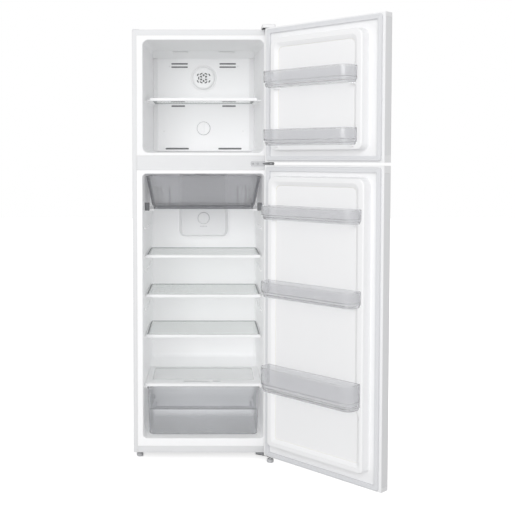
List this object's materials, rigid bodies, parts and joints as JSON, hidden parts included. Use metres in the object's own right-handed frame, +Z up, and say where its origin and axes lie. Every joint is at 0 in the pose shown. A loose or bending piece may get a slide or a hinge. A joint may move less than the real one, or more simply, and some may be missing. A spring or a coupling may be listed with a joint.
{
  "type": "top freezer refrigerator",
  "caption": "Free-standing top freezer refrigerator with two right-hinged doors, glass shelves, clear drawers and door bins, shown with both doors open.",
  "frame": {"origin": "centre of the right front foot's underside, where the doors' common hinge axis meets the floor", "axes": "+X to the right seen from the front, +Y towards the back, +Z up"},
  "size_m": [0.9182, 0.9708, 1.6923],
  "materials": {
    "white_steel": "satin",
    "white_liner": "satin",
    "white_plastic": "satin",
    "gasket_vinyl": "matte",
    "insulation_foam": "matte",
    "smoke_clear_plastic": "gloss",
    "shelf_glass": "gloss",
    "zinc_steel": "satin",
    "black_paint": "satin",
    "fin_aluminium": "satin",
    "grey_plastic": "matte"
  },
  "bodies": {
    "cabinet": {"cabinet_shell": "white_steel", "cabinet_back_panel": "white_steel", "cabinet_foam": "insulation_foam", "freezer_liner": "white_liner", "fridge_liner": "white_liner", "center_mullion": "white_steel", "bottom_rail": "white_steel", "base_plate": "zinc_steel", "compressor_bar": "zinc_steel", "compressor": "black_paint", "drip_tray": "grey_plastic", "evaporator_cover": "white_liner", "evaporator_coil": "fin_aluminium", "fan_motor": "black_paint", "fan_cap": "white_plastic", "air_duct_cover": "white_liner", "lamp_lens": "smoke_clear_plastic", "top_hinge": "zinc_steel", "top_hinge_cover": "white_plastic", "middle_hinge": "zinc_steel", "bottom_hinge": "zinc_steel", "top_corner_cap": "white_plastic"},
    "freezer_door": {"freezer_door_shell": "white_steel", "freezer_door_foam": "insulation_foam", "freezer_door_liner": "white_liner", "freezer_door_gasket": "gasket_vinyl", "freezer_door_bottom_cap": "white_plastic", "freezer_door_top_cap": "white_plastic"},
    "fridge_door": {"fridge_door_shell": "white_steel", "fridge_door_foam": "insulation_foam", "fridge_door_liner": "white_liner", "fridge_door_gasket": "gasket_vinyl", "fridge_door_bottom_cap": "white_plastic", "fridge_door_top_cap": "white_plastic"},
    "freezer_shelf": {"freezer_shelf_glass": "shelf_glass", "freezer_shelf_trim": "white_plastic"},
    "fridge_shelf_1": {"fridge_shelf_1_glass": "shelf_glass", "fridge_shelf_1_trim": "white_plastic"},
    "fridge_shelf_2": {"fridge_shelf_2_glass": "shelf_glass", "fridge_shelf_2_trim": "white_plastic"},
    "fridge_shelf_3": {"fridge_shelf_3_glass": "shelf_glass", "fridge_shelf_3_trim": "white_plastic"},
    "crisper_cover": {"crisper_cover_frame": "white_plastic", "crisper_cover_glass": "shelf_glass"},
    "crisper_drawer": {"crisper_drawer": "smoke_clear_plastic"},
    "chiller_drawer": {"chiller_drawer": "smoke_clear_plastic"},
    "humidity_slider": {"humidity_slider": "white_plastic"},
    "freezer_control_knob": {"freezer_control_knob": "white_plastic"},
    "fridge_control_knob": {"fridge_control_knob": "white_plastic"},
    "fan_rotor": {"fan_rotor": "grey_plastic"},
    "rear_roller_left": {"rear_roller_left": "grey_plastic"},
    "rear_roller_right": {"rear_roller_right": "grey_plastic"},
    "left_front_foot": {"left_front_foot": "grey_plastic"},
    "right_front_foot": {"right_front_foot": "grey_plastic"},
    "freezer_bin_lower": {"freezer_bin_lower": "smoke_clear_plastic"},
    "freezer_bin_upper": {"freezer_bin_upper": "smoke_clear_plastic"},
    "fridge_bin_bottom": {"fridge_bin_bottom": "smoke_clear_plastic"},
    "fridge_bin_middle": {"fridge_bin_middle": "smoke_clear_plastic"},
    "fridge_bin_top": {"fridge_bin_top": "smoke_clear_plastic"}
  },
  "joints": [
    {"name": "freezer_door_hinge", "type": "hinge", "parent": "cabinet", "child": "freezer_door", "pos_m": [0, 0, 1.17], "axis": [0, 0, 1], "range_deg": [-134, 0]},
    {"name": "fridge_door_hinge", "type": "hinge", "parent": "cabinet", "child": "fridge_door", "pos_m": [0, 0, 0.03], "axis": [0, 0, 1], "range_deg": [-134, 0]},
    {"name": "crisper_drawer_slide", "type": "slide", "parent": "cabinet", "child": "crisper_drawer", "axis": [0, -1, 0], "range_m": [0, 0.26]},
    {"name": "chiller_drawer_slide", "type": "slide", "parent": "cabinet", "child": "chiller_drawer", "axis": [0, -1, 0], "range_m": [0, 0.24]},
    {"name": "freezer_shelf_slide", "type": "slide", "parent": "cabinet", "child": "freezer_shelf", "axis": [0, -1, 0], "range_m": [0, 0.26]},
    {"name": "fridge_shelf_1_slide", "type": "slide", "parent": "cabinet", "child": "fridge_shelf_1", "axis": [0, -1, 0], "range_m": [0, 0.3]},
    {"name": "fridge_shelf_2_slide", "type": "slide", "parent": "cabinet", "child": "fridge_shelf_2", "axis": [0, -1, 0], "range_m": [0, 0.3]},
    {"name": "fridge_shelf_3_slide", "type": "slide", "parent": "cabinet", "child": "fridge_shelf_3", "axis": [0, -1, 0], "range_m": [0, 0.3]},
    {"name": "crisper_cover_slide", "type": "slide", "parent": "cabinet", "child": "crisper_cover", "axis": [0, -1, 0], "range_m": [0, 0.25]},
    {"name": "humidity_slider_slide", "type": "slide", "parent": "crisper_cover", "child": "humidity_slider", "axis": [1, 0, 0], "range_m": [-0.106, 0.031]},
    {"name": "freezer_control_knob_turn", "type": "hinge", "parent": "cabinet", "child": "freezer_control_knob", "pos_m": [-0.261, 0.4335, 1.312], "axis": [0, -1, 0], "range_deg": [0, 270]},
    {"name": "fridge_control_knob_turn", "type": "hinge", "parent": "cabinet", "child": "fridge_control_knob", "pos_m": [-0.261, 0.4335, 0.924], "axis": [0, -1, 0], "range_deg": [0, 270]},
    {"name": "fan_spin", "type": "hinge", "parent": "cabinet", "child": "fan_rotor", "pos_m": [-0.261, 0.4505, 1.527], "axis": [0, -1, 0], "continuous": true},
    {"name": "rear_roller_left_spin", "type": "hinge", "parent": "cabinet", "child": "rear_roller_left", "pos_m": [-0.496, 0.5185, 0.012], "axis": [1, 0, 0], "continuous": true},
    {"name": "rear_roller_right_spin", "type": "hinge", "parent": "cabinet", "child": "rear_roller_right", "pos_m": [-0.026, 0.5185, 0.012], "axis": [1, 0, 0], "continuous": true},
    {"name": "left_front_foot_turn", "type": "hinge", "parent": "cabinet", "child": "left_front_foot", "pos_m": [-0.513, 0.0735, 0.01], "axis": [0, 0, 1], "continuous": true},
    {"name": "right_front_foot_turn", "type": "hinge", "parent": "cabinet", "child": "right_front_foot", "pos_m": [0, 0, 0.01], "axis": [0, 0, 1], "continuous": true},
    {"name": "freezer_bin_lower_lift", "type": "slide", "parent": "freezer_door", "child": "freezer_bin_lower", "axis": [0, 0, 1], "range_m": [0, 0.015]},
    {"name": "freezer_bin_upper_lift", "type": "slide", "parent": "freezer_door", "child": "freezer_bin_upper", "axis": [0, 0, 1], "range_m": [0, 0.015]},
    {"name": "fridge_bin_bottom_lift", "type": "slide", "parent": "fridge_door", "child": "fridge_bin_bottom", "axis": [0, 0, 1], "range_m": [0, 0.015]},
    {"name": "fridge_bin_middle_lift", "type": "slide", "parent": "fridge_door", "child": "fridge_bin_middle", "axis": [0, 0, 1], "range_m": [0, 0.015]},
    {"name": "fridge_bin_top_lift", "type": "slide", "parent": "fridge_door", "child": "fridge_bin_top", "axis": [0, 0, 1], "range_m": [0, 0.015]}
  ]
}
